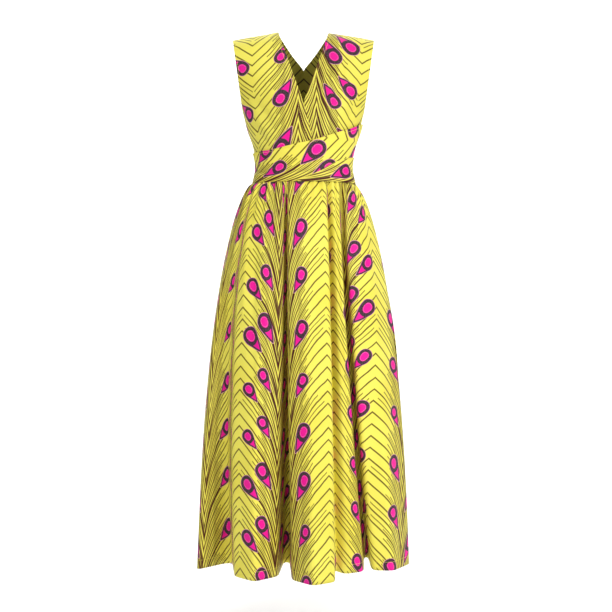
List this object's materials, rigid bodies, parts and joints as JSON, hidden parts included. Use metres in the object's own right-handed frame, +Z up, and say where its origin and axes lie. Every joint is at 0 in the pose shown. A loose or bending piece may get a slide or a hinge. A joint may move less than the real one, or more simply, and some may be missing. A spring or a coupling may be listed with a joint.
{
  "type": "ankara wax print dress",
  "caption": "Sleeveless maxi dress with a crossed V neck, a wound waist sash and a full gathered skirt, filled out as worn and open at neck, armholes and hem.",
  "frame": {"origin": "midway between the neck points of the shoulder seams, where the wearer's shoulders hold the dress up", "axes": "+Z up along the dress, -Y out of its front, +X towards the wearer's left"},
  "size_m": [0.5718, 0.454, 1.4339],
  "materials": {
    "wax_print_bodice": "smooth cotton with a yellow, magenta and dark feather print",
    "wax_print_sash": "smooth cotton with a yellow, magenta and dark feather print",
    "wax_print_skirt": "smooth cotton with a yellow, magenta and dark feather print"
  },
  "bodies": {
    "root": {"bodice_front_right": "wax_print_bodice", "bodice_front_left": "wax_print_bodice", "bodice_back_right": "wax_print_bodice", "bodice_back_left": "wax_print_bodice", "sash_front": "wax_print_sash", "sash_back": "wax_print_sash", "sash_lower": "wax_print_sash", "skirt_front": "wax_print_skirt", "skirt_back": "wax_print_skirt"}
  },
  "joints": []
}
